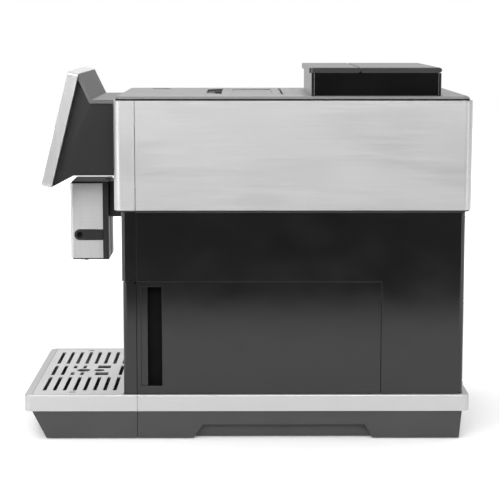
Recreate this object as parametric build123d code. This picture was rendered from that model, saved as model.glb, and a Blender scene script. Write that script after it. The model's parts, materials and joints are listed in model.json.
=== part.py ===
from build123d import *
from math import atan, cos, pi, radians, sin, sqrt, tan
import os

# Bean-to-cup coffee machine, millimetres. +Z up, front towards -Y, origin on the table under the middle.

# Driving dimensions
DEPTH = 450.0
RIM_HALF_WIDTH = 120.0
BODY_HALF_WIDTH = 116.0
BASE_HALF_WIDTH = 117.8
WALL = 2.6
SHEET = 1.2
GAP = 0.4

# Heights of the horizontal joints in the casing
BASE_BOTTOM = 1.0
RIM_BOTTOM = 29.3
RIM_TOP = 46.0
WAIST = 160.7
BAND_BOTTOM = 232.8
BAND_TOP = 341.7
PLATE_BOTTOM = 343.7
PLATE_TOP = 345.9
HOPPER_TOP = 368.4
LID_TOP = 374.0

# Positions along the depth
FRONT = -DEPTH / 2
REAR = DEPTH / 2
SEAM = -111.0
PANEL_FRONT = -124.6
BODY_REAR = 218.5
BAND_FRONT = -132.7
BAND_REAR = 224.2

# Display head
DISPLAY_TILT = 14.2
DISPLAY_HALF_WIDTH = 92.0
DISPLAY_HEIGHT = 118.5
DISPLAY_THICKNESS = 10.7
DISPLAY_FOOT = (-197.2, 252.9)
HOUSING_HALF_WIDTH = 87.0
HOUSING_BOTTOM = 265.0
LEDGE_TOP = 341.5

# Spout
SPOUT_HALF_WIDTH = 31.0
SPOUT_FRONT = -184.9
SPOUT_SHELL_REAR = -151.0
SPOUT_REAR = -144.9
SPOUT_BOTTOM = 173.0
SPOUT_TOP = 251.7

# Drip grid
SLOT_PITCH = 10.27
SLOT_WIDTH = 3.8
FLOAT_Y = -159.2
FLOAT_STEM = 2.6
FIRST_SLOT = -207.2

# Water tank bay and door
DOOR_REAR = 134.9
DOOR_TOP = 160.3
BAY_INNER = 33.0

# Bean hopper and its lids
HOPPER_HALF_WIDTH = 103.0
HOPPER_FRONT = 64.3
HOPPER_REAR = 194.0
HINGE_RADIUS = 2.4
PIN_RADIUS = 1.2
RUNNING = 0.04
FLAP_HINGE_Y = 111.0
HOPPER_HINGE = (191.4, 371.4)
POWDER_HINGE = (34.4, 343.3)
HINGE_POSTS = (-60.0, 60.0)

# Powder lid, flush in the top plate
POWDER_X = (-95.0, 62.0)
POWDER_Y = (-26.0, 37.0)

# Grinder and its drive
GRINDER_Y = 125.0
GEAR_MODULE = 1.2
GEAR_TEETH = 40
PINION_TEETH = 13
GEAR_CENTRES = GEAR_MODULE * (GEAR_TEETH + PINION_TEETH) / 2 + 0.1

# Brew unit
BREW_X = -8.0
BREW_Y = 72.0

# Small fittings: button on top, hose line, tank nipple, mains inlet and switch
BUTTON_AT = (-88.0, -93.6)
HOSE_X = -78.0
NIPPLE_END = 22.0
NIPPLE_Y = 118.0
NIPPLE_Z = 62.0
INLET_X = -60.0
INLET_Z = 72.0
SWITCH_X = -24.0
BOILER_Y = -60.0


def block(x0, x1, y0, y1, z0, z1):
    """Plain box between two corners."""
    size = Box(x1 - x0, y1 - y0, z1 - z0)
    return Pos((x0 + x1) / 2, (y0 + y1) / 2, (z0 + z1) / 2) * size


def slab(x0, x1, y0, y1, z0, z1, radius):
    """Upright box with rounded vertical edges."""
    outline = Pos((x0 + x1) / 2, (y0 + y1) / 2, z0) * RectangleRounded(x1 - x0, y1 - y0, radius)
    return extrude(outline, z1 - z0)


def rod(radius, x, y, z0, z1):
    """Upright cylinder."""
    return Pos(x, y, (z0 + z1) / 2) * Cylinder(radius, z1 - z0)


def rod_x(radius, x0, x1, y, z):
    """Cylinder lying across the machine."""
    return Pos((x0 + x1) / 2, y, z) * Rot(0, 90, 0) * Cylinder(radius, x1 - x0)


def rod_y(radius, x, y0, y1, z):
    """Cylinder lying along the depth."""
    return Pos(x, (y0 + y1) / 2, z) * Rot(90, 0, 0) * Cylinder(radius, y1 - y0)


def cone(r_bottom, r_top, x, y, z0, z1):
    """Upright cone frustum."""
    return Pos(x, y, (z0 + z1) / 2) * Cone(r_bottom, r_top, z1 - z0)


def side_profile(points, x0, x1):
    """Outline of (y, z) points, stretched across the machine."""
    face = make_face(Polyline(*points, close=True))
    return extrude(Plane.YZ.offset(x0) * face, x1 - x0)


def before(y, shape):
    """Part of the shape in front of a plane across the machine."""
    return shape & block(-300, 300, -600, y, -50, 500)


def behind(y, shape):
    """Part of the shape behind a plane across the machine."""
    return shape & block(-300, 300, y, 600, -50, 500)


def frame_ring(half_width, y0, y1, z0, z1, radius, wall):
    """Closed rectangular wall with rounded corners."""
    outer = slab(-half_width, half_width, y0, y1, z0, z1, radius)
    inner_radius = max(radius - wall, 0.5)
    inner = slab(wall - half_width, half_width - wall, y0 + wall, y1 - wall, z0 - 1, z1 + 1, inner_radius)
    return outer - inner


def top_edges(shape):
    return shape.faces().sort_by(Axis.Z)[-1].edges()


def spur_gear(teeth, bore, z0, z1, turn):
    """Involute gear with thinned teeth, so that a pair runs with backlash."""
    pitch_radius = GEAR_MODULE * teeth / 2
    base_radius = pitch_radius * cos(radians(20))
    tip_radius = pitch_radius + 0.8 * GEAR_MODULE
    root_radius = pitch_radius - 1.25 * GEAR_MODULE
    half_pitch_angle = pi / (2 * teeth) - 0.12 / pitch_radius + tan(radians(20)) - radians(20)
    start_radius = max(base_radius, root_radius + 0.05)
    flank = []
    steps = 5
    for step in range(steps + 1):
        radius = start_radius + (tip_radius - start_radius) * step / steps
        roll = sqrt((radius / base_radius) ** 2 - 1)
        flank.append((radius, half_pitch_angle - (roll - atan(roll))))
    points = []
    for tooth in range(teeth):
        middle = 2 * pi * tooth / teeth + turn
        sides = [(root_radius, -flank[0][1])] + [(r, -a) for r, a in flank]
        sides = sides + [(r, a) for r, a in reversed(flank)] + [(root_radius, flank[0][1])]
        points += [(r * cos(middle + a), r * sin(middle + a)) for r, a in sides]
    gear = extrude(Pos(0, 0, z0) * make_face(Polyline(*points, close=True)), z1 - z0)
    return gear - rod(bore, 0, 0, z0 - 1, z1 + 1)



# Base, rim and casing


def base_tray():
    outline = [(SEAM + GAP, BASE_BOTTOM), (215, BASE_BOTTOM), (217.7, RIM_BOTTOM), (SEAM + GAP, RIM_BOTTOM)]
    tub = side_profile(outline, -BASE_HALF_WIDTH, BASE_HALF_WIDTH)
    inner = BASE_HALF_WIDTH - 2.4
    tub -= block(-inner, inner, -200, 212.4, BASE_BOTTOM + 2.4, 60)
    for side in (-1, 1):
        x0, x1 = sorted((side * 107.4, side * inner))
        tub += block(x0, x1, -56, 129, BASE_BOTTOM, 17.2)
        tub -= grip_recess(side)
    for x, y in foot_places():
        tub -= rod(4.1, x, y, 0, 5)
    return tub


def grip_recess(side):
    """Hollow under each long edge, where the hands go to lift the machine."""
    outline = [(-55.4, -1), (-44.7, 14.8), (119.5, 14.8), (127.8, -1)]
    x0, x1 = sorted((side * 109.8, side * 130))
    return side_profile(outline, x0, x1)


def foot_places():
    return [(x, y) for x in (-98, 98) for y in (-92, 196)]


def rubber_feet():
    feet = []
    for x, y in foot_places():
        feet.append(rod(9, x, y, 0, BASE_BOTTOM) + rod(4, x, y, BASE_BOTTOM, 3.4))
    return Compound(feet)


def rim_rear():
    ring = frame_ring(RIM_HALF_WIDTH, -200, REAR, RIM_BOTTOM, RIM_TOP, 7, 10)
    ring = fillet(top_edges(ring), 1.4)
    return behind(SEAM + GAP, ring)


def corner_posts():
    """Upright posts of the chassis, as (x0, x1, y0, y1, z0)."""
    return [
        (-113, -103, -110.4, -100.4, RIM_TOP),
        (103, 113, -109.4, -100.4, 161.4),
        (-112, -93, 205, 214, RIM_TOP),
        (93, 112, 205, 214, RIM_TOP),
    ]


def chassis_frame():
    frame = block(-112, 30.5, 26, 214, RIM_TOP, 48.5) + block(30.5, 112, 138.2, 214, RIM_TOP, 48.5)
    for x0, x1, y0, y1, z0 in corner_posts():
        frame += block(x0, x1, y0, y1, z0, 339)
    frame += frame_ring(113, -110.4, 215.4, 333, 339, 6, 10)
    for x, z in screw_places():
        frame -= rod_y(1.7, x, 206, 230, z)
    return frame


def screw_places():
    return [(x, z) for x in (-98, 98) for z in (56, 138, 222)]


def mid_deck():
    deck = slab(-115, 115, BAND_FRONT + 1.6, BAND_REAR - 1.6, 231.3, 232.7, 7)
    deck += slab(-112.8, 112.8, -122.6, 215.4, 228.5, 231.3, 5)
    for x0, x1, y0, y1, _ in corner_posts():
        deck -= block(x0 - 0.3, x1 + 0.3, y0 - 0.3, y1 + 0.3, 220, 240)
    deck -= block(-25, 9, 61, 84, 220, 240)
    deck -= rod(23, 0, GRINDER_Y + GEAR_CENTRES, 220, 240)
    deck -= rod(6, HOSE_X, 165, 220, 240)
    return deck


def top_deck():
    deck = slab(-114.4, 114.4, -130.6, 221.2, 339.1, 343.6, 7)
    deck -= block(POWDER_X[0] - 0.5, POWDER_X[1] + 0.5, -22, 37.6, 330, 350)
    deck -= block(-60, 27, -34, -20, 340.6, 350)
    deck -= rod(46, 0, GRINDER_Y, 330, 350)
    deck -= rod(11, *BUTTON_AT, 341, 350)
    deck -= rod(4, *BUTTON_AT, 330, 350)
    for x, y in [(-90, -90), (90, -90)]:
        deck -= rod(1.7, x, y, 330, 350)
    return deck


def tank_bay():
    """Molded pocket that the water tank slides into, open to the right, with the outlet nipple."""
    outer = block(BAY_INNER - 1.6, 113.2, -109.6, 136, 46.1, 161.2)
    inner = block(BAY_INNER, 120, -108, 134.4, 47.7, 159.6)
    bay = outer - inner
    bay += rod_x(4.5, NIPPLE_END, BAY_INNER + 8, NIPPLE_Y, NIPPLE_Z)
    return bay - rod_x(3, NIPPLE_END - 1, BAY_INNER + 9, NIPPLE_Y, NIPPLE_Z)


def side_panel(side):
    """Black side wall, wrapped round the rear corner. The right one leaves room for the tank door."""
    shell = frame_ring(BODY_HALF_WIDTH, -200, BODY_REAR, RIM_TOP + 0.2, 231.2, 6, WALL)
    shell = behind(SEAM + GAP / 2, shell)
    shell -= block(-104, 104, 150, 300, 0, 300)
    shell -= block(*sorted((0, -side * 300)), -300, 300, 0, 300)
    if side > 0:
        shell -= block(80, 130, -200, DOOR_REAR + GAP, 0, DOOR_TOP + GAP)
    return shell


def rear_panel():
    panel = block(-103.7, 103.7, BODY_REAR - WALL, BODY_REAR, RIM_TOP + 0.2, 231.2)
    for x in range(-78, 79, 6):
        panel -= block(x - 1.3, x + 1.3, 200, 230, 168, 208)
    panel -= block(INLET_X - 14.2, INLET_X + 14.2, 200, 230, INLET_Z - 10.2, INLET_Z + 10.2)
    panel -= block(SWITCH_X - 10.2, SWITCH_X + 10.2, 200, 230, INLET_Z - 7.2, INLET_Z + 7.2)
    for x, z in screw_places():
        panel -= rod_y(1.7, x, 200, 230, z)
    return panel


def panel_screws():
    screws = []
    for x, z in screw_places():
        head = rod_y(3.6, x, BODY_REAR, BODY_REAR + 1.8, z)
        head -= rod_y(1.4, x, BODY_REAR + 0.8, BODY_REAR + 3, z)
        screws.append(head + rod_y(1.65, x, 207, BODY_REAR, z))
    return Compound(screws)


def upper_front_panel():
    shell = frame_ring(BODY_HALF_WIDTH, -125.6, 100, WAIST + 0.7, 231.2, 5, 2.4)
    shell = before(SEAM - GAP / 2, shell)
    return shell + block(-113.4, 113.4, -123.2, SEAM - GAP, WAIST + 0.7, WAIST + 3)


def steel_front_band():
    band = frame_ring(BODY_HALF_WIDTH, BAND_FRONT, 100, BAND_BOTTOM, BAND_TOP, 8, SHEET)
    band = before(SEAM - 0.6, band)
    return band - block(-60, 60, -140, -120, 275, 325)


def steel_wrap():
    band = frame_ring(BODY_HALF_WIDTH, -200, BAND_REAR, BAND_BOTTOM, BAND_TOP, 8, SHEET)
    return behind(SEAM, band)


def top_plate():
    plate = slab(-BODY_HALF_WIDTH, BODY_HALF_WIDTH, -131, 221.6, PLATE_BOTTOM, PLATE_TOP, 9)
    plate = chamfer(top_edges(plate), 2)
    plate -= block(POWDER_X[0] - 0.5, POWDER_X[1] + 0.5, POWDER_Y[0] - 0.3, POWDER_Y[1] + 0.5, 330, 350)
    scoop = Polyline((-84, -26), (-66, -42), (33, -42), (51, -26), close=True)
    plate -= extrude(Pos(0, 0, PLATE_BOTTOM - 1) * make_face(scoop), 6)
    plate -= rod(46, 0, GRINDER_Y, 330, 350)
    return plate - rod(10.4, *BUTTON_AT, 330, 350)


# Display head


def tilted(shape):
    """Put a piece modelled upright behind the display's own foot onto the tilted screen."""
    return Pos(0, *DISPLAY_FOOT) * Rot(-DISPLAY_TILT, 0, 0) * shape


def on_screen_back(height, behind_it=0.2):
    """Point (y, z) on the back of the tilted screen."""
    angle = radians(DISPLAY_TILT)
    y = DISPLAY_FOOT[0] + height * sin(angle) + behind_it * cos(angle)
    z = DISPLAY_FOOT[1] + height * cos(angle) - behind_it * sin(angle)
    return (y, z)


def display_bezel():
    half = DISPLAY_HALF_WIDTH
    body = block(-half, half, -DISPLAY_THICKNESS, 0, 0, DISPLAY_HEIGHT)
    body = fillet(body.edges().filter_by(Axis.Y), 3)
    body = chamfer(body.faces().sort_by(Axis.Y)[0].edges(), 0.6)
    body -= block(3.5 - half, half - 3.5, -20, 1.3 - DISPLAY_THICKNESS, 3.5, DISPLAY_HEIGHT - 3.5)
    body -= block(8 - half, half - 8, -10, -3, 8, DISPLAY_HEIGHT - 8)
    body -= block(-15, 15, -4, 1, 40, 80)
    groove = block(-200, 200, -20, 5, DISPLAY_HEIGHT - 5.2, DISPLAY_HEIGHT - 4.6)
    groove -= block(0.4 - half, half - 0.4, 0.4 - DISPLAY_THICKNESS, -0.4, 0, 200)
    return tilted(body - groove)


def display_glass():
    half = DISPLAY_HALF_WIDTH - 3.7
    front = -DISPLAY_THICKNESS
    return tilted(block(-half, half, front, front + 1.2, 3.7, DISPLAY_HEIGHT - 3.7))


def display_panel():
    half = DISPLAY_HALF_WIDTH - 8.3
    module = block(-half, half, 1.35 - DISPLAY_THICKNESS, -6, 8.3, DISPLAY_HEIGHT - 8.3)
    module += block(-60, 60, -6, -4.2, 20, 90)
    return tilted(module + block(-12, 12, -4.2, -3.2, 50, 70))


def display_housing():
    foot = on_screen_back(0.6)
    top = on_screen_back(112.5)
    knee = (-158.0, LEDGE_TOP - 4.0)
    outline = [foot, top, knee, (BAND_FRONT - 0.2, LEDGE_TOP - 4.0), (BAND_FRONT - 0.2, HOUSING_BOTTOM)]
    outline.append((-175.3, HOUSING_BOTTOM))
    half = HOUSING_HALF_WIDTH
    shell = side_profile(outline, -half, half)
    for side in (-1, 1):
        shell -= cheek_cutter(side)
    inner = [on_screen_back(14, 3), on_screen_back(104, 3), (-160.0, 334.0)]
    inner += [(-120.0, 334.0), (-120.0, 268.0), (-176.0, 268.0)]
    return shell - side_profile(inner, 6 - half, half - 6)


def cheek_cutter(side):
    """Wedge that narrows the head from the facet line towards the screen."""
    low = Vector(side * HOUSING_HALF_WIDTH, -175.3, HOUSING_BOTTOM)
    along = Vector(0, 19.2, 71.4)
    inward = Vector(-side * 4.5, -22, 0)
    normal = along.cross(inward)
    if normal.X * side < 0:
        normal = -normal
    plane = Plane(origin=low, x_dir=along, z_dir=normal)
    return plane * Box(400, 400, 40, align=(Align.CENTER, Align.CENTER, Align.MIN))


def display_cover():
    half = DISPLAY_HALF_WIDTH - 3
    knee = (-155.7, LEDGE_TOP)
    outline = [on_screen_back(DISPLAY_HEIGHT - 0.5), knee, (BAND_FRONT - 0.2, LEDGE_TOP)]
    outline += [(BAND_FRONT - 0.2, LEDGE_TOP - 3.8), (-157.9, LEDGE_TOP - 3.8), on_screen_back(112.8)]
    cover = side_profile(outline, -half, half)
    return chamfer(cover.edges().filter_by(Axis.X).sort_by(Axis.Z)[-1:], 0.3)


# Spout, which slides on a rail


def spout_guide():
    guide = block(-20, 20, SPOUT_REAR + 0.5, BAND_FRONT - 0.3, 215.7, 253)
    guide += block(-20, 20, BAND_FRONT - 0.3, -125.9, 215.7, 230.9)
    guide += block(-3, 3, -147.5, SPOUT_REAR + 0.5, 178, 253)
    guide += block(-7, 7, -149.5, -146.8, 178, 253)
    return guide


def spout_shell():
    shell = frame_ring(SPOUT_HALF_WIDTH, SPOUT_FRONT, -100, SPOUT_BOTTOM, SPOUT_TOP, 3, 1.5)
    shell = before(SPOUT_SHELL_REAR, shell)
    outline = [(-175.2, 203.5), (-140, 203.5), (-140, 191.8), (-175.2, 191.8)]
    shell -= side_profile(outline, 20, 40)
    shell -= rod_x(5.85, 20, 40, -175.2, 197.65)
    for side in (-1, 1):
        for rib in range(6):
            z = 213.6 + 3.3 * rib
            x0, x1 = sorted((side * (SPOUT_HALF_WIDTH - 1), side * (SPOUT_HALF_WIDTH + 0.6)))
            shell += rod_x(0.55, x0, x1, -172.5, z)
            x0, x1 = sorted((side * (SPOUT_HALF_WIDTH - 1), side * (SPOUT_HALF_WIDTH + 0.5)))
            shell += block(x0, x1, -172.5, -154.5, z - 0.55, z + 0.55)
    return shell


def spout_core():
    half = SPOUT_HALF_WIDTH - 1.6
    core = slab(-half, half, SPOUT_FRONT + 1.6, SPOUT_SHELL_REAR + 3, 171.5, 253.6, 1.5)
    core += block(-SPOUT_HALF_WIDTH, SPOUT_HALF_WIDTH, SPOUT_SHELL_REAR + 0.1, SPOUT_REAR, 171.5, 253.6)
    core += block(29, 31.6, -175.2, -151.2, 192.1, 203.2) + rod_x(5.55, 29, 31.6, -175.2, 197.65)
    core -= rod_x(3.2, 20, 40, -175.2, 197.65)
    core -= block(-7.3, 7.3, -149.8, -146.5, 150, 280) + block(-3.3, 3.3, -148, -140, 150, 280)
    core -= rod(3, -11, -172.5, 160, 180) + rod(3, 11, -172.5, 160, 180) + rod(2.5, 0, -157.5, 160, 180)
    return core


def spout_nozzles():
    """Two coffee outlets and the milk outlet behind them, as (x, y, radius, bore, bottom)."""
    outlets = [(-11, -172.5, 5.2, 3, 168.6), (11, -172.5, 5.2, 3, 168.6), (0, -157.5, 3.6, 2.5, 167.6)]
    nozzles = []
    for x, y, radius, bore, z0 in outlets:
        ring = cone(radius - 0.8, radius, x, y, z0, 171.5) + rod(bore - 0.02, x, y, 171.5, 177)
        nozzles.append(ring - rod(bore - 0.8, x, y, 160, 180))
    return Compound(nozzles)


# Drawer: drip tray, rim, front, grounds container, grid and float


def drip_tray():
    top = RIM_BOTTOM - 0.1
    outline = [(-203.2, BASE_BOTTOM), (-217.6, top), (SEAM, top), (SEAM, BASE_BOTTOM)]
    tray = side_profile(outline, -BASE_HALF_WIDTH, BASE_HALF_WIDTH)
    tray += block(-106, 28, SEAM - 5, 22, 4.2, 40)
    inner = [(-201.6, 3.5), (-214.4, 40), (SEAM - 2.5, 40), (SEAM - 2.5, 3.5)]
    tray -= side_profile(inner, 2.5 - BASE_HALF_WIDTH, BASE_HALF_WIDTH - 2.5)
    tray -= block(-104, 26, SEAM - 8, 20, 6, 50)
    tray += rod(1.5, 0, FLOAT_Y, 3.5, 20)
    return tray


def drip_rim():
    rim = slab(-RIM_HALF_WIDTH, RIM_HALF_WIDTH, FRONT, 0, RIM_BOTTOM, RIM_TOP, 7)
    rim = fillet(top_edges(rim), 1.4)
    rim = before(SEAM, rim)
    rim -= block(-112, 112, -213, 10, 0, 60)
    return rim - block(-115.2, 115.2, -217.5, 10, 44.3, 60)


def drip_grid():
    grid = slab(-114.8, 114.8, -217.2, -125.1, 44.4, 45.9, 1.5)
    for column in range(8):
        y = FIRST_SLOT + SLOT_PITCH * column
        half = SLOT_WIDTH / 2
        for side in (-1, 1):
            grid -= block(*sorted((side * 34, side * 98)), y - half, y + half, 40, 50)
        if column in (0, 1, 7):
            grid -= block(-24, 24, y - half, y + half, 40, 50)
        if column in (2, 3):
            for side in (-1, 1):
                grid -= block(*sorted((side * 10, side * 24)), y - half, y + half, 40, 50)
    grid -= rod(7.1, 0, -176.2, 40, 50)
    grid -= rod(5.8, 0, FLOAT_Y, 40, 50)
    for side in (-1, 1):
        grid -= block(*sorted((side * 10.5, side * 24.5)), -162.2, -148.2, 40, 50)
        grid -= Pos(side * 106, -177.6, 45) * extrude(Ellipse(2.2, 3.8), 4, both=True)
    return grid


def drawer_front():
    shell = frame_ring(BODY_HALF_WIDTH, PANEL_FRONT, 100, RIM_TOP + 0.3, WAIST - 1.3, 5, WALL)
    shell = before(SEAM - 0.3, shell)
    return shell + block(-113, 113, PANEL_FRONT + WALL, SEAM - 0.3, RIM_TOP + 0.3, 48.6)


def grounds_container():
    outline = [(-107, 48), (-107, 138), (17, 138), (8, 8), (-90, 8), (-92, 48)]
    inner = [(-105.2, 49.8), (-105.2, 150), (16, 150), (6.4, 9.8), (-88.2, 9.8), (-90.2, 49.8)]
    box = side_profile(outline, -99, 22)
    return box - side_profile(inner, -97.2, 20.2)


def tray_float():
    float_body = rod(13, 0, FLOAT_Y, 5, 12) + rod(FLOAT_STEM, 0, FLOAT_Y, 12, 43.6)
    return float_body - rod(1.5 + RUNNING, 0, FLOAT_Y, 0, 30)


# Water tank, pulled out to the right with its door


def tank_door():
    skin = block(BODY_HALF_WIDTH - WALL, BODY_HALF_WIDTH, SEAM + 0.2, DOOR_REAR, RIM_TOP + 0.4, DOOR_TOP)
    skin += block(99.4, BODY_HALF_WIDTH, -107.6, -83.8, 52.6, 157.4)
    ledge = BODY_HALF_WIDTH - WALL
    outline = [(120, -106.6), (ledge, -106.6), (ledge, -100), (101, -100), (101, -85.6), (120, -85.6)]
    hollow = make_face(Polyline(*outline, close=True))
    return skin - extrude(Pos(0, 0, 54.5) * hollow, 155.7 - 54.5)


def water_tank():
    outline = [(36, -104), (97, -104), (97, -81), (113.2, -81), (113.2, 131), (36, 131)]
    tank = extrude(Pos(0, 0, 50) * make_face(Polyline(*outline, close=True)), 103)
    tank = fillet(tank.edges().filter_by(Axis.Z), 3)
    inner = [(38, -102), (95, -102), (95, -79), (111.2, -79), (111.2, 129), (38, 129)]
    tank -= extrude(Pos(0, 0, 52) * make_face(Polyline(*inner, close=True)), 110)
    return tank - rod_x(8.2, 30, 39, NIPPLE_Y, NIPPLE_Z)


def tank_lid():
    lid = slab(36.2, 94, -103, 130.8, 153.2, 155.2, 3) + block(60, 113, -80.5, 130.8, 153.2, 155.2)
    return lid - rod(16, 66, 20, 150, 160)


def tank_valve():
    valve = rod_x(8, 34.4, 46, NIPPLE_Y, NIPPLE_Z)
    return valve - rod_x(4.8, 30, 42.5, NIPPLE_Y, NIPPLE_Z)


# Bean hopper, its lid with a filling flap, and the powder lid


def ear(x, y, z, foot):
    """Upright lug that carries one end of a lid's hinge pin."""
    lug = block(x - 3, x + 3, y - HINGE_RADIUS, y + HINGE_RADIUS, foot, z)
    lug += rod_x(HINGE_RADIUS, x - 3, x + 3, y, z)
    return lug - rod_x(PIN_RADIUS + RUNNING, x - 4, x + 4, y, z)


def lid_edge(lid, x0, x1, y, z):
    """Round the hinged edge of a lid about its pin, leave room for the lugs and bore it for the pins."""
    lid -= block(x0 - 1, x1 + 1, y, y + 20, z - 20, z + 20)
    lid += rod_x(HINGE_RADIUS, x0, x1, y, z)
    middle = (x0 + x1) / 2
    for post in HINGE_POSTS:
        x = middle + post
        lid -= block(x - 3.3, x + 3.3, y - HINGE_RADIUS - 0.8, y + 20, z - 20, z + 20)
        lid -= rod_x(PIN_RADIUS + 0.01, x - 8.1, x + 8.1, y, z)
    return lid


def hinge_pins(middle, y, z):
    return [rod_x(PIN_RADIUS, middle + post - 8, middle + post + 8, y, z) for post in HINGE_POSTS]


def bean_hopper():
    half = HOPPER_HALF_WIDTH
    box = slab(-half, half, HOPPER_FRONT, HOPPER_REAR, PLATE_TOP + 0.1, HOPPER_TOP, 5)
    box -= slab(2.4 - half, half - 2.4, HOPPER_FRONT + 2.4, HOPPER_REAR - 2.4, 348.2, 400, 3)
    box += cone(20, 45, 0, GRINDER_Y, 320, 348)
    box -= cone(18, 43.6, 0, GRINDER_Y, 319.9, 348.3)
    y, z = HOPPER_HINGE
    for x in HINGE_POSTS:
        box += block(x - 3, x + 3, y - HINGE_RADIUS, HOPPER_REAR - 1, 360, HOPPER_TOP)
        box += ear(x, y, z, HOPPER_TOP - 1)
    return box


def hopper_lid():
    half = HOPPER_HALF_WIDTH + 0.6
    y, z = HOPPER_HINGE
    lid = slab(-half, half, HOPPER_FRONT, HOPPER_REAR + 10, HOPPER_TOP + 0.3, LID_TOP, 5)
    lid = chamfer(top_edges(lid), 0.6)
    lid = behind(FLAP_HINGE_Y + HINGE_RADIUS + 0.3, lid)
    lid = lid_edge(lid, -half, half, y, z)
    flap_z = LID_TOP - HINGE_RADIUS
    for post in HINGE_POSTS:
        lid += block(post - 3, post + 3, FLAP_HINGE_Y, FLAP_HINGE_Y + 8, HOPPER_TOP + 0.6, flap_z)
        lid += ear(post, FLAP_HINGE_Y, flap_z, HOPPER_TOP + 0.6)
        lid -= rod_x(PIN_RADIUS + RUNNING, post - 4, post + 4, FLAP_HINGE_Y, flap_z)
    return lid


def hopper_flap():
    half = HOPPER_HALF_WIDTH + 0.6
    flap = slab(-half, half, HOPPER_FRONT - 2.3, FLAP_HINGE_Y + 15, HOPPER_TOP + 0.3, LID_TOP, 5)
    flap = chamfer(top_edges(flap), 0.6)
    return lid_edge(flap, -half, half, FLAP_HINGE_Y, LID_TOP - HINGE_RADIUS)


def powder_lid():
    x0, x1 = POWDER_X
    y, z = POWDER_HINGE
    lid = block(x0, x1, POWDER_Y[0], POWDER_Y[1], PLATE_BOTTOM + 0.1, PLATE_TOP)
    lid += block(x0 + 4, x1 - 4, -21.5, y, 341.5, PLATE_BOTTOM + 0.1)
    lid -= block(x0 + 15, x1 - 20, -15.5, 26.6, PLATE_TOP - 1.2, 350)
    return lid_edge(lid, x0, x1, y, z)


def lid_hinge_pins():
    middle = (POWDER_X[0] + POWDER_X[1]) / 2
    return Compound(hinge_pins(0, *HOPPER_HINGE) + hinge_pins(middle, *POWDER_HINGE))


def flap_hinge_pins():
    return Compound(hinge_pins(0, FLAP_HINGE_Y, LID_TOP - HINGE_RADIUS))


def powder_ears(deck):
    """Lugs for the powder lid, standing on the top deck."""
    middle = (POWDER_X[0] + POWDER_X[1]) / 2
    y, z = POWDER_HINGE
    for post in HINGE_POSTS:
        x = middle + post
        deck += block(x - 3, x + 3, y - HINGE_RADIUS, 40, 339.1, 340.6)
        deck += ear(x, y, z, 339.5)
    return deck


def power_button():
    button = rod(9.8, *BUTTON_AT, 343.0, 345.3) + rod(3.8, *BUTTON_AT, 336, 343.0)
    return button - Pos(BUTTON_AT[0], BUTTON_AT[1], 405) * Sphere(60)


# Grinder


def grinder_housing():
    cup = rod(36, 0, GRINDER_Y, 262, 317) - rod(32, 0, GRINDER_Y, 266, 312)
    cup -= rod(20.6, 0, GRINDER_Y, 300, 320)
    cup -= rod(4 + RUNNING, 0, GRINDER_Y, 260, 270)
    cup -= block(-10, 10, 85, 110, 268, 282)
    cup += block(-13, 13, GRINDER_Y - 36.4, GRINDER_Y - 31.8, 265, 285) - block(-10, 10, 80, 110, 268, 282)
    for angle in (30, 150, 270):
        x = 31 * cos(radians(angle))
        y = GRINDER_Y + 31 * sin(radians(angle))
        cup += rod(3.6, x, y, 232.7, 263)
    return cup


def upper_burr():
    ring = rod(31.9, 0, GRINDER_Y, 294, 311) - cone(26.5, 19, 0, GRINDER_Y, 293.9, 311.1)
    return ring


def lower_burr():
    burr = cone(24, 15.5, 0, GRINDER_Y, 291, 310) + rod(28, 0, GRINDER_Y, 286, 291)
    for flute in range(12):
        angle = 30 * flute
        notch = Pos(24, 0, 300) * Rot(0, -24, 0) * Box(3, 1.6, 30)
        burr -= Pos(0, GRINDER_Y, 0) * Rot(0, 0, angle) * notch
    return burr + rod(4, 0, GRINDER_Y, 246, 286)


def grinder_gear():
    gear = spur_gear(GEAR_TEETH, 4 + RUNNING, 250, 258, 0)
    return Pos(0, GRINDER_Y, 0) * gear


def motor_pinion():
    turn = pi / PINION_TEETH - pi / 2
    gear = spur_gear(PINION_TEETH, 1.0, 249.5, 258.5, turn)
    pinion = gear + rod(2.5, 0, 0, 238, 249.5)
    return Pos(0, GRINDER_Y + GEAR_CENTRES, 0) * pinion


def grinder_motor():
    y = GRINDER_Y + GEAR_CENTRES
    motor = rod(22, 0, y, 172, 244) + rod(25.5, 0, y, 232.7, 236) + rod(12, 0, y, 166, 172)
    return motor - rod(2.5 + RUNNING, 0, y, 236, 250)


def coffee_chute():
    """Duct from the powder lid and the grinder down into the brew unit."""
    outline = [(-12, 338.9), (30, 338.9), (30, 326), (88, 286), (88, 262)]
    outline += [(82, 256), (82, 224), (63, 224), (63, 262), (-12, 325)]
    inner = [(-10.2, 350), (28.2, 350), (28.2, 325), (86.2, 285), (86.2, 263)]
    inner += [(80.2, 257), (80.2, 200), (64.8, 200), (64.8, 263), (-10.2, 326)]
    duct = side_profile(outline, -23, 7) - side_profile(inner, -21.2, 5.2)
    return duct - block(-10, 5, 80, 90, 268, 282)


# Brew unit


def brew_frame():
    body = block(-44, 28, 34, 110, 48.6, 222) - block(-41, 25, 20, 107, 52.2, 218)
    body -= block(-25, 9, 61, 84, 210, 230)
    body -= rod(4 + RUNNING, BREW_X, BREW_Y, 40, 60)
    for side in (-44, 25):
        body -= block(side - 1, side + 4, 46, 96, 80, 140)
    return body


def brew_cylinder():
    chamber = rod(24, BREW_X, BREW_Y, 150, 206) + block(BREW_X - 12, BREW_X + 12, 90, 107, 160, 196)
    return chamber - rod(19, BREW_X, BREW_Y, 140, 210)


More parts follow.
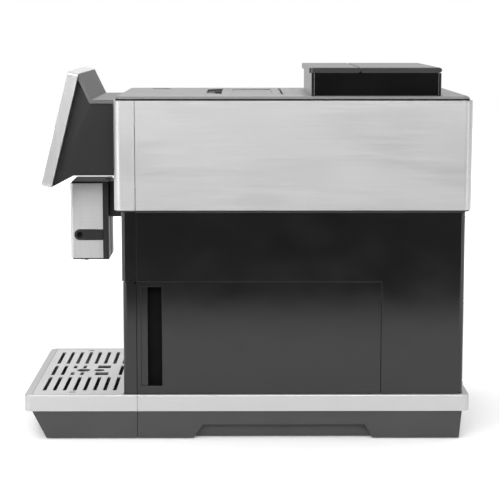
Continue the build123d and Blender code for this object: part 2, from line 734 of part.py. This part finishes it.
def brew_piston():
    piston = rod(18.95, BREW_X, BREW_Y, 148, 162) + rod(8, BREW_X, BREW_Y, 84, 148)
    for z in (151, 156):
        piston -= rod(20, BREW_X, BREW_Y, z, z + 2) - rod(17.6, BREW_X, BREW_Y, z, z + 2)
    return piston - rod(4 + RUNNING, BREW_X, BREW_Y, 80, 144)


def brew_screw():
    screw = rod(4, BREW_X, BREW_Y, 49, 140)
    for turn in range(10):
        z = 90 + 4 * turn
        screw -= rod(5, BREW_X, BREW_Y, z, z + 1.6) - rod(3.3, BREW_X, BREW_Y, z, z + 1.6)
    return screw


def brew_motor():
    gearbox = block(BREW_X - 22, BREW_X + 22, 38, 92, 52.3, 66) + rod(11, BREW_X, 49.5, 66, 120)
    gearbox -= rod(4.2, BREW_X, BREW_Y, 50, 70)
    return gearbox


# Water circuit


def pump():
    body = rod(15, HOSE_X, 165, 74, 126) + block(HOSE_X - 19, HOSE_X + 19, 146, 184, 84, 116)
    body += rod(7, HOSE_X, 165, 60, 140) + rod(4, HOSE_X, 165, 140, 150)
    body += rod_x(3.6, HOSE_X, HOSE_X + 20, 165, NIPPLE_Z + 2)
    return body + rod(10, HOSE_X, 165, 48.6, 60)


def hose(points, radii):
    path = FilletPolyline(*points, radius=radii)
    start = Plane(origin=points[0], z_dir=path % 0)
    return sweep(start * Circle(3.2), path=path)


def suction_hose():
    z = NIPPLE_Z
    points = [(NIPPLE_END, NIPPLE_Y, z), (-4, NIPPLE_Y, z), (-32, 165, z + 2), (HOSE_X + 20, 165, z + 2)]
    return hose(points, [14, 14])


def pressure_hose():
    points = [(HOSE_X, 165, 150), (HOSE_X, 165, 324), (HOSE_X, BOILER_Y, 324), (HOSE_X, BOILER_Y, 300)]
    return hose(points, [24, 18])


def boiler():
    body = rod(32, HOSE_X, BOILER_Y, 240, 288) + rod(35, HOSE_X, BOILER_Y, 262, 266)
    body += cone(32, 26, HOSE_X, BOILER_Y, 288, 293) + rod(5, HOSE_X, BOILER_Y, 293, 300)
    for angle in (45, 135, 225, 315):
        x = HOSE_X + 26 * cos(radians(angle))
        y = BOILER_Y + 26 * sin(radians(angle))
        body += rod(4, x, y, 232.7, 240)
    return body


# Electrics


def control_board():
    board = block(97, 98.6, -88, 62, 238, 322)
    for y, z in [(-70, 300), (-30, 300), (10, 300), (45, 300)]:
        board += block(80, 97, y - 9, y + 9, z - 12, z + 12)
    for y in (-70, -50, -30, -5):
        board += rod_x(7, 77, 97, y, 262)
    for y in (-80, 54):
        for z in (244, 316):
            board += rod_x(3, 98.6, 114.6, y, z)
    return board


def power_inlet():
    inlet = block(INLET_X - 14, INLET_X + 14, 196, BODY_REAR, INLET_Z - 10, INLET_Z + 10)
    inlet += block(INLET_X - 17, INLET_X + 17, BODY_REAR, BODY_REAR + 2, INLET_Z - 13, INLET_Z + 13)
    inlet -= block(INLET_X - 12, INLET_X + 12, 202, 230, INLET_Z - 8, INLET_Z + 8)
    for x, z in [(-6, -2), (0, 3), (6, -2)]:
        inlet += block(INLET_X + x - 1, INLET_X + x + 1, 200, 216, INLET_Z + z - 2, INLET_Z + z + 2)
    return inlet + switch_box()


def switch_box():
    """Seat of the mains switch, beside the inlet in one module, with the rocker's pin."""
    box = block(INLET_X, SWITCH_X + 10, 196, BODY_REAR - WALL - 0.3, INLET_Z - 7, INLET_Z + 7)
    box += block(SWITCH_X - 10, SWITCH_X + 10, 196, BODY_REAR, INLET_Z - 7, INLET_Z + 7)
    box += block(SWITCH_X - 12, SWITCH_X + 12, BODY_REAR, BODY_REAR + 1.5, INLET_Z - 9.5, INLET_Z + 9.5)
    box -= block(INLET_X - 12, INLET_X + 12, 195, 230, INLET_Z - 8, INLET_Z + 8)
    box -= block(SWITCH_X - 8.4, SWITCH_X + 8.4, 205, 230, INLET_Z - 5.8, INLET_Z + 5.8)
    return box + rod_x(1.5, SWITCH_X - 8.6, SWITCH_X + 8.6, 214, INLET_Z)


def power_switch():
    outline = [(210.5, -3), (210.5, 3), (218, 4.6), (219, 0), (220.8, -4)]
    rocker = side_profile([(y, INLET_Z + z) for y, z in outline], SWITCH_X - 8, SWITCH_X + 8)
    return rocker - rod_x(1.5 + RUNNING, SWITCH_X - 9, SWITCH_X + 9, 214, INLET_Z)


PARTS = {
    "base_tray": base_tray,
    "rubber_feet": rubber_feet,
    "rim_rear": rim_rear,
    "chassis_frame": chassis_frame,
    "mid_deck": mid_deck,
    "top_deck": lambda: powder_ears(top_deck()),
    "tank_bay": tank_bay,
    "side_panel_left": lambda: side_panel(-1),
    "side_panel_right": lambda: side_panel(1),
    "rear_panel": rear_panel,
    "panel_screws": panel_screws,
    "upper_front_panel": upper_front_panel,
    "steel_front_band": steel_front_band,
    "steel_wrap": steel_wrap,
    "top_plate": top_plate,
    "display_bezel": display_bezel,
    "display_glass": display_glass,
    "display_panel": display_panel,
    "display_housing": display_housing,
    "display_cover": display_cover,
    "spout_guide": spout_guide,
    "spout_shell": spout_shell,
    "spout_core": spout_core,
    "spout_nozzles": spout_nozzles,
    "drip_tray": drip_tray,
    "drip_rim": drip_rim,
    "drip_grid": drip_grid,
    "drawer_front": drawer_front,
    "grounds_container": grounds_container,
    "tray_float": tray_float,
    "tank_door": tank_door,
    "water_tank": water_tank,
    "tank_lid": tank_lid,
    "tank_valve": tank_valve,
    "bean_hopper": bean_hopper,
    "hopper_lid": hopper_lid,
    "hopper_flap": hopper_flap,
    "lid_hinge_pins": lid_hinge_pins,
    "flap_hinge_pins": flap_hinge_pins,
    "powder_lid": powder_lid,
    "power_button": power_button,
    "grinder_housing": grinder_housing,
    "upper_burr": upper_burr,
    "lower_burr": lower_burr,
    "grinder_gear": grinder_gear,
    "motor_pinion": motor_pinion,
    "grinder_motor": grinder_motor,
    "coffee_chute": coffee_chute,
    "brew_frame": brew_frame,
    "brew_cylinder": brew_cylinder,
    "brew_piston": brew_piston,
    "brew_screw": brew_screw,
    "brew_motor": brew_motor,
    "pump": pump,
    "suction_hose": suction_hose,
    "pressure_hose": pressure_hose,
    "boiler": boiler,
    "control_board": control_board,
    "power_inlet": power_inlet,
    "power_switch": power_switch,
}

os.makedirs("parts", exist_ok=True)
for name, build in PARTS.items():
    export_step(build(), f"parts/{name}.step")
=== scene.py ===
import json
from math import pi, radians

import bmesh
import bpy
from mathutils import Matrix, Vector


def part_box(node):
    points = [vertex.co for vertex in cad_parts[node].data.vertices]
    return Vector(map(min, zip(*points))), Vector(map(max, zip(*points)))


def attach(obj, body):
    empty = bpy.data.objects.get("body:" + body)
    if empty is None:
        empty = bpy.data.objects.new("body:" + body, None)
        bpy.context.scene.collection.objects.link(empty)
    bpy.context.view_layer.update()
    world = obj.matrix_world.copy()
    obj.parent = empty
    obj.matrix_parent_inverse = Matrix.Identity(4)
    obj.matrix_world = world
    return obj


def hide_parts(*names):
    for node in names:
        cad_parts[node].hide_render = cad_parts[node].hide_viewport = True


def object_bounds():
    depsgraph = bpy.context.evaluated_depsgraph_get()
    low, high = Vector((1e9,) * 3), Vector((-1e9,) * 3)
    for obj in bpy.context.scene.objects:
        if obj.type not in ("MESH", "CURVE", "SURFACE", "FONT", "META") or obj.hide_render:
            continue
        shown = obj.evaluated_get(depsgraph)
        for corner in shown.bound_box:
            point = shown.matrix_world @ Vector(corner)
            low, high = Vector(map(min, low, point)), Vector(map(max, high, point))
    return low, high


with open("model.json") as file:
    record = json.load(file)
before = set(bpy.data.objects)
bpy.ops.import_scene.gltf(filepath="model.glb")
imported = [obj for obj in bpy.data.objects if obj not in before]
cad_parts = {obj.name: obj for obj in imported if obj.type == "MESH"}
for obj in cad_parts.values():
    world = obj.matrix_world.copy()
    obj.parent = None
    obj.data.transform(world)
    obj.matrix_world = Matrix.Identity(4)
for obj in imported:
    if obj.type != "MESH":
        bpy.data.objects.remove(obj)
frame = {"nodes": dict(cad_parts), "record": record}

CAD_BOX = [list(corner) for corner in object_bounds()]
NODES = frame["nodes"]
SLOT_OF = {part["node"]: part["material_slot"] for part in frame["record"]["subparts"]}
BODY_OF = {node: body for body, nodes in frame["record"]["behaviour"]["bodies"].items() for node in nodes}
SHARP_ANGLE = radians(38)
SAME_POINT = 1e-5
FLAT_ANGLE = radians(0.4)
FLOOR_FRONT, FLOOR_BACK, FLOOR_HALF_WIDTH = 0.85, -5.0, 6.0
LENS_MM, SENSOR_MM = 116.7, 36.0
CAMERA_AT = (1.7207, -0.0052, 0.4152)
CAMERA_DOWN, CAMERA_TURN = radians(7.88), radians(0.294)


# Node graph helpers


class Graph:
    """A material's node tree, with short calls for the nodes used here."""

    def __init__(self, name):
        self.material = bpy.data.materials.new(name)
        self.material.use_nodes = True
        self.tree = self.material.node_tree
        self.shader = self.tree.nodes["Principled BSDF"]
        self.place = self.add("ShaderNodeTexCoord").outputs["Object"]

    def add(self, kind, **settings):
        node = self.tree.nodes.new(kind)
        for key, value in settings.items():
            setattr(node, key, value)
        return node

    def link(self, output, entry):
        self.tree.links.new(output, entry)

    def noise(self, stretch, detail=3.0):
        """Noise with that many features per metre along X, Y and Z."""
        mapping = self.add("ShaderNodeMapping")
        mapping.inputs["Scale"].default_value = stretch
        self.link(self.place, mapping.inputs["Vector"])
        noise = self.add("ShaderNodeTexNoise")
        noise.inputs["Scale"].default_value = 1.0
        noise.inputs["Detail"].default_value = detail
        self.link(mapping.outputs["Vector"], noise.inputs["Vector"])
        return noise.outputs["Fac"]

    def ranged(self, value, low, high, start=0.3, end=0.7):
        node = self.add("ShaderNodeMapRange")
        for key, number in (("From Min", start), ("From Max", end), ("To Min", low), ("To Max", high)):
            node.inputs[key].default_value = number
        self.link(value, node.inputs["Value"])
        return node.outputs["Result"]

    def math(self, operation, a, b):
        node = self.add("ShaderNodeMath", operation=operation, use_clamp=True)
        for entry, value in zip(node.inputs, (a, b)):
            if isinstance(value, float):
                entry.default_value = value
            else:
                self.link(value, entry)
        return node.outputs["Value"]

    def blend(self, factor, first, second):
        node = self.add("ShaderNodeMix", data_type="RGBA")
        self.link(factor, node.inputs["Factor"])
        for entry, colour in ((node.inputs["A"], first), (node.inputs["B"], second)):
            if isinstance(colour, tuple):
                entry.default_value = (*colour, 1.0)
            else:
                self.link(colour, entry)
        return node.outputs["Result"]

    def edges(self, radius, strength):
        """Near strength along the edges, 0 on flat faces; it masks the painted highlights along edges."""
        bevel = self.add("ShaderNodeBevel", samples=4)
        bevel.inputs["Radius"].default_value = radius
        flat = self.add("ShaderNodeNewGeometry")
        dot = self.add("ShaderNodeVectorMath", operation="DOT_PRODUCT")
        self.link(bevel.outputs["Normal"], dot.inputs[0])
        self.link(flat.outputs["Normal"], dot.inputs[1])
        return self.ranged(dot.outputs["Value"], strength, 0.0, 0.8, 1.0)

    def bump(self, height, strength, distance):
        node = self.add("ShaderNodeBump")
        node.inputs["Strength"].default_value = strength
        node.inputs["Distance"].default_value = distance
        self.link(height, node.inputs["Height"])
        self.link(node.outputs["Normal"], self.shader.inputs["Normal"])

    def set(self, **values):
        for key, value in values.items():
            self.shader.inputs[key.replace("_", " ")].default_value = value


def grey(level):
    return (level, level, level)


def brushed(name, level, stretch, roughness=(0.26, 0.40), bump=0.12):
    """Sheet metal with a fine grain: stretch is high across the grain and low along it."""
    graph = Graph(name)
    grain = graph.noise(stretch, 2.0)
    cloud = graph.noise((14, 9, 14))
    tone = graph.blend(graph.ranged(grain, 0.0, 1.0), grey(level * 0.95), grey(level * 1.03))
    # The edges are painted paler as a highlight.
    grain_with_edge_highlight = graph.blend(graph.edges(0.0005, 0.5), tone, grey(min(level * 1.25, 0.95)))
    graph.link(grain_with_edge_highlight, graph.shader.inputs["Base Color"])
    rough = graph.math("ADD", graph.ranged(grain, *roughness), graph.ranged(cloud, 0.0, 0.05))
    graph.link(rough, graph.shader.inputs["Roughness"])
    graph.bump(grain, bump, 0.00005)
    graph.set(Metallic=1.0)
    return graph.material


def lacquer(name, level):
    """Silver lacquer on plastic, with fine flakes."""
    graph = Graph(name)
    flakes = graph.noise((2600, 2600, 2600), 1.0)
    cloud = graph.noise((22, 22, 22))
    tone = graph.blend(graph.ranged(flakes, 0.0, 1.0), grey(level * 0.93), grey(level * 1.05))
    # The edges are painted a paler grey as a highlight.
    graph.link(graph.blend(graph.edges(0.0004, 0.35), tone, grey(0.86)), graph.shader.inputs["Base Color"])
    rough = graph.math("ADD", graph.ranged(flakes, 0.30, 0.38), graph.ranged(cloud, 0.0, 0.06))
    graph.link(rough, graph.shader.inputs["Roughness"])
    graph.bump(flakes, 0.05, 0.00004)
    graph.set(Metallic=0.55, Coat_Weight=0.15, Coat_Roughness=0.2)
    return graph.material


def gloss(name, colour, roughness, smudge=0.08, coat=0.3):
    """Polished plastic: faint orange peel, finger smudges, and edges painted paler as a highlight."""
    graph = Graph(name)
    peel = graph.noise((420, 420, 420), 1.0)
    cloud = graph.noise((26, 18, 30), 4.0)
    smudge_and_edge_highlight = tuple(channel + 0.012 for channel in colour)
    tone = graph.blend(graph.ranged(cloud, 0.0, 0.25), colour, smudge_and_edge_highlight)
    # The edges are painted paler as a highlight.
    graph.link(graph.blend(graph.edges(0.0005, 0.6), tone, smudge_and_edge_highlight), graph.shader.inputs["Base Color"])
    graph.link(graph.ranged(cloud, roughness, roughness + smudge), graph.shader.inputs["Roughness"])
    graph.bump(peel, 0.03, 0.00005)
    graph.set(Coat_Weight=coat, Coat_Roughness=0.08)
    return graph.material


def moulded(name, colour, roughness=0.5, texture=1500.0, bump=0.22):
    """Textured moulded plastic with spark-eroded grain."""
    graph = Graph(name)
    grain = graph.noise((texture, texture, texture), 2.0)
    cloud = graph.noise((18, 18, 18))
    pale = tuple(channel * 1.18 + 0.006 for channel in colour)
    tone = graph.blend(graph.ranged(cloud, 0.0, 0.7), colour, pale)
    # The edges are painted pale as a highlight.
    graph.link(graph.blend(graph.edges(0.0006, 0.5), tone, pale), graph.shader.inputs["Base Color"])
    graph.link(graph.ranged(grain, roughness - 0.05, roughness + 0.07), graph.shader.inputs["Roughness"])
    graph.bump(grain, bump, 0.00008)
    return graph.material


def clear(name, colour, roughness):
    """Clear plastic with a faint moulding haze."""
    graph = Graph(name)
    cloud = graph.noise((40, 40, 12))
    pale = tuple(min(channel * 1.05, 1.0) for channel in colour)
    graph.link(graph.blend(graph.ranged(cloud, 0.0, 1.0), colour, pale), graph.shader.inputs["Base Color"])
    graph.link(graph.ranged(cloud, roughness, roughness + 0.06), graph.shader.inputs["Roughness"])
    graph.bump(cloud, 0.05, 0.0002)
    graph.set(Transmission_Weight=0.85, IOR=1.49)
    return graph.material


def circuit(name):
    """Solder mask with copper tracks under it."""
    graph = Graph(name)
    tracks = graph.noise((30, 420, 30), 0.0)
    cross = graph.noise((30, 30, 420), 0.0)
    along = graph.ranged(tracks, 0.0, 1.0, 0.54, 0.56)
    both = graph.math("MAXIMUM", along, graph.ranged(cross, 0.0, 1.0, 0.57, 0.59))
    graph.link(graph.blend(both, (0.01, 0.09, 0.035), (0.03, 0.2, 0.08)), graph.shader.inputs["Base Color"])
    graph.link(graph.ranged(both, 0.35, 0.28, 0.0, 1.0), graph.shader.inputs["Roughness"])
    graph.bump(both, 0.2, 0.00005)
    return graph.material


def materials():
    return {
        "brushed_steel": brushed("brushed_steel", 0.60, (22, 16, 3200), (0.38, 0.46), 0.05),
        "spout_silver": brushed("spout_silver", 0.56, (1800, 1800, 20), (0.38, 0.46), 0.03),
        "silver_lacquer": lacquer("silver_lacquer", 0.50),
        "plate_silver": lacquer("plate_silver", 0.20),
        "lid_smoke": gloss("lid_smoke", (0.045, 0.045, 0.046), 0.06, 0.04, 0.2),
        "piano_black": gloss("piano_black", (0.006, 0.006, 0.006), 0.12, 0.06, 0.0),
        "hopper_black": gloss("hopper_black", (0.004, 0.004, 0.0045), 0.05, 0.04, 0.3),
        "display_black": moulded("display_black", (0.008, 0.008, 0.008), 0.34, 1900.0, 0.10),
        "grey_plastic": moulded("grey_plastic", (0.10, 0.10, 0.10), 0.42, 1900.0, 0.12),
        "screen_glass": gloss("screen_glass", (0.004, 0.004, 0.005), 0.03, 0.03, 1.0),
        "base_plastic": moulded("base_plastic", (0.032, 0.032, 0.032), 0.46),
        "inner_black": moulded("inner_black", (0.008, 0.008, 0.008), 0.6),
        "inner_grey": moulded("inner_grey", (0.25, 0.26, 0.27), 0.48),
        "rubber_black": moulded("rubber_black", (0.02, 0.02, 0.02), 0.82, 900.0, 0.4),
        "clear_plastic": clear("clear_plastic", (0.72, 0.77, 0.81), 0.06),
        "bright_steel": brushed("bright_steel", 0.70, (240, 240, 240), (0.12, 0.2), 0.03),
        "aluminium_cast": brushed("aluminium_cast", 0.55, (700, 700, 700), (0.42, 0.55), 0.3),
        "gear_white": moulded("gear_white", (0.72, 0.70, 0.64), 0.4),
        "hose_white": moulded("hose_white", (0.62, 0.62, 0.59), 0.45, 800.0, 0.1),
        "board_green": circuit("board_green"),
    }


# Pieces that stand for CAD nodes, with rounded edges


def paint(obj, material):
    obj.data.materials.clear()
    obj.data.materials.append(material)


def cleaned(mesh):
    """Joins the CAD mesh's split corners and removes the lines inside flat faces."""
    shape = bmesh.new()
    shape.from_mesh(mesh)
    bmesh.ops.remove_doubles(shape, verts=shape.verts, dist=SAME_POINT)
    bmesh.ops.dissolve_limit(shape, angle_limit=FLAT_ANGLE, verts=shape.verts, edges=shape.edges)
    shape.to_mesh(mesh)
    shape.free()


def refine(node, width, paints):
    """A copy of a CAD node with rounded edges and flat faces shaded flat, shown in its place."""
    piece = bpy.data.objects.new(node + "_shell", NODES[node].data.copy())
    bpy.context.scene.collection.objects.link(piece)
    cleaned(piece.data)
    piece.data.shade_smooth()
    piece.data.set_sharp_from_angle(angle=SHARP_ANGLE)
    bevel = piece.modifiers.new("round", "BEVEL")
    bevel.width = width
    bevel.segments = 2
    bevel.limit_method = "ANGLE"
    bevel.angle_limit = SHARP_ANGLE
    bevel.use_clamp_overlap = True
    weighted = piece.modifiers.new("flat_faces", "WEIGHTED_NORMAL")
    weighted.weight = 100
    bpy.context.view_layer.update()
    evaluated = piece.evaluated_get(bpy.context.evaluated_depsgraph_get())
    rounded = bpy.data.meshes.new_from_object(evaluated)
    piece.modifiers.clear()
    piece.data = rounded
    paint(piece, paints[SLOT_OF[node]])
    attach(piece, BODY_OF[node])
    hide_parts(node)
    return piece


def line_pocket(door):
    """The grip pocket's floor is matt, unlike the polished door round it, and painted darker with almost no
    reflection as painted shade in the deep pocket.
    """
    pocket_shade_liner = moulded("pocket_black", (0.003, 0.003, 0.003), 0.7)
    # Almost no reflection, so the pocket floor stays dark as painted shade.
    pocket_shade_liner.node_tree.nodes["Principled BSDF"].inputs["Specular IOR Level"].default_value = 0.05
    door.data.materials.append(pocket_shade_liner)
    low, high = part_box("tank_door")
    skin = high.x - 0.004
    for face in door.data.polygons:
        inside = low.x + 0.001 < face.center.x < skin and face.center.y < low.y + 0.03
        if inside and abs(face.normal.x) > 0.9:
            face.material_index = 1


# Nodes shown with rounded edges, by the width of the rounding in metres
ROUNDED = {
    0.0006: [
        "side_panel_left", "side_panel_right", "upper_front_panel", "drawer_front",
        "hopper_flap", "hopper_lid",
    ],
    0.0004: ["tank_door", "display_housing", "display_cover", "spout_core", "base_tray", "powder_lid"],
    0.0003: ["display_bezel", "drip_tray"],
}


def dress(paints):
    for node, obj in NODES.items():
        paint(obj, paints[SLOT_OF[node]])
    for width, nodes in ROUNDED.items():
        for node in nodes:
            piece = refine(node, width, paints)
            if node == "tank_door":
                line_pocket(piece)


# Studio


def sheet_of(name, profile, material):
    """A stage sheet: a line in X and Z drawn out along Y."""
    shape = bmesh.new()
    rows = [[shape.verts.new((x, y, z)) for y in (-FLOOR_HALF_WIDTH, FLOOR_HALF_WIDTH)] for x, z in profile]
    for first, second in zip(rows, rows[1:]):
        shape.faces.new((first[0], first[1], second[1], second[0]))
    mesh = bpy.data.meshes.new(name)
    shape.to_mesh(mesh)
    shape.free()
    mesh.shade_smooth()
    obj = bpy.data.objects.new(name, mesh)
    bpy.context.scene.collection.objects.link(obj)
    paint(obj, material)


def floor_paper():
    """Pale floor that stays white far from the lights. It ends in front where only reflections see it."""
    paper = Graph("floor_paper")
    cloud = paper.noise((3, 3, 3))
    paper.link(paper.blend(cloud, grey(0.90), grey(0.93)), paper.shader.inputs["Base Color"])
    paper.set(Roughness=0.9, Emission_Color=(1.0, 1.0, 1.0, 1.0))
    distance = paper.add("ShaderNodeVectorMath", operation="LENGTH")
    paper.link(paper.place, distance.inputs[0])
    glow = paper.ranged(distance.outputs["Value"], 0.16, 0.85, 0.7, 1.8)
    paper.link(glow, paper.shader.inputs["Emission Strength"])
    sheet_of("floor", [(FLOOR_FRONT, 0.0), (FLOOR_BACK, 0.0)], paper.material)


def softbox(name, place, size, power):
    lamp = bpy.data.lights.new(name, "AREA")
    lamp.shape = "RECTANGLE"
    lamp.size, lamp.size_y = size
    lamp.energy = power
    obj = bpy.data.objects.new(name, lamp)
    obj.location = place
    target = (Vector(CAD_BOX[0]) + Vector(CAD_BOX[1])) / 2
    obj.rotation_euler = (target - Vector(place)).to_track_quat("-Z", "Y").to_euler()
    bpy.context.scene.collection.objects.link(obj)


def surroundings():
    """A white background, and for light and reflections a room that is paler behind the object."""
    world = bpy.data.worlds.new("studio")
    world.use_nodes = True
    tree = world.node_tree
    place = tree.nodes.new("ShaderNodeTexCoord")
    split = tree.nodes.new("ShaderNodeSeparateXYZ")
    tree.links.new(place.outputs["Generated"], split.inputs["Vector"])
    room = tree.nodes.new("ShaderNodeMapRange")
    for key, value in (("From Min", 0.3), ("From Max", -0.5), ("To Min", 0.04), ("To Max", 0.48)):
        room.inputs[key].default_value = value
    tree.links.new(split.outputs["X"], room.inputs["Value"])
    path = tree.nodes.new("ShaderNodeLightPath")
    strength = tree.nodes.new("ShaderNodeMix")
    tree.links.new(path.outputs["Is Camera Ray"], strength.inputs["Factor"])
    tree.links.new(room.outputs["Result"], strength.inputs["A"])
    strength.inputs["B"].default_value = 1.0
    tree.links.new(strength.outputs["Result"], tree.nodes["Background"].inputs["Strength"])
    tree.nodes["Background"].inputs["Color"].default_value = (1.0, 1.0, 1.0, 1.0)
    bpy.context.scene.world = world
    bpy.context.scene.view_settings.view_transform = "Standard"


def lights():
    """Soft boxes overhead and round the object, with power in watts."""
    softbox("top_box", (0.0, -0.2, 2.4), (3.0, 3.0), 36)
    softbox("side_box", (2.2, -0.2, 1.35), (2.6, 1.0), 56)
    softbox("front_strip", (1.5, -1.9, 0.45), (0.28, 1.5), 11)
    softbox("rear_strip", (1.5, 1.9, 0.45), (0.28, 1.5), 7)
    softbox("front_box", (0.2, -2.2, 1.3), (1.4, 1.0), 8)
    softbox("back_box", (-1.0, 1.9, 1.5), (1.6, 1.4), 8)
    softbox("left_box", (-2.0, -0.3, 1.5), (1.8, 1.2), 10)


def camera():
    lens = bpy.data.cameras.new("camera")
    lens.lens = LENS_MM
    lens.sensor_width = SENSOR_MM
    obj = bpy.data.objects.new("camera", lens)
    obj.location = CAMERA_AT
    obj.rotation_euler = (pi / 2 - CAMERA_DOWN, 0.0, pi / 2 - CAMERA_TURN)
    bpy.context.scene.collection.objects.link(obj)
    bpy.context.scene.camera = obj


dress(materials())
floor_paper()
surroundings()
lights()
camera()
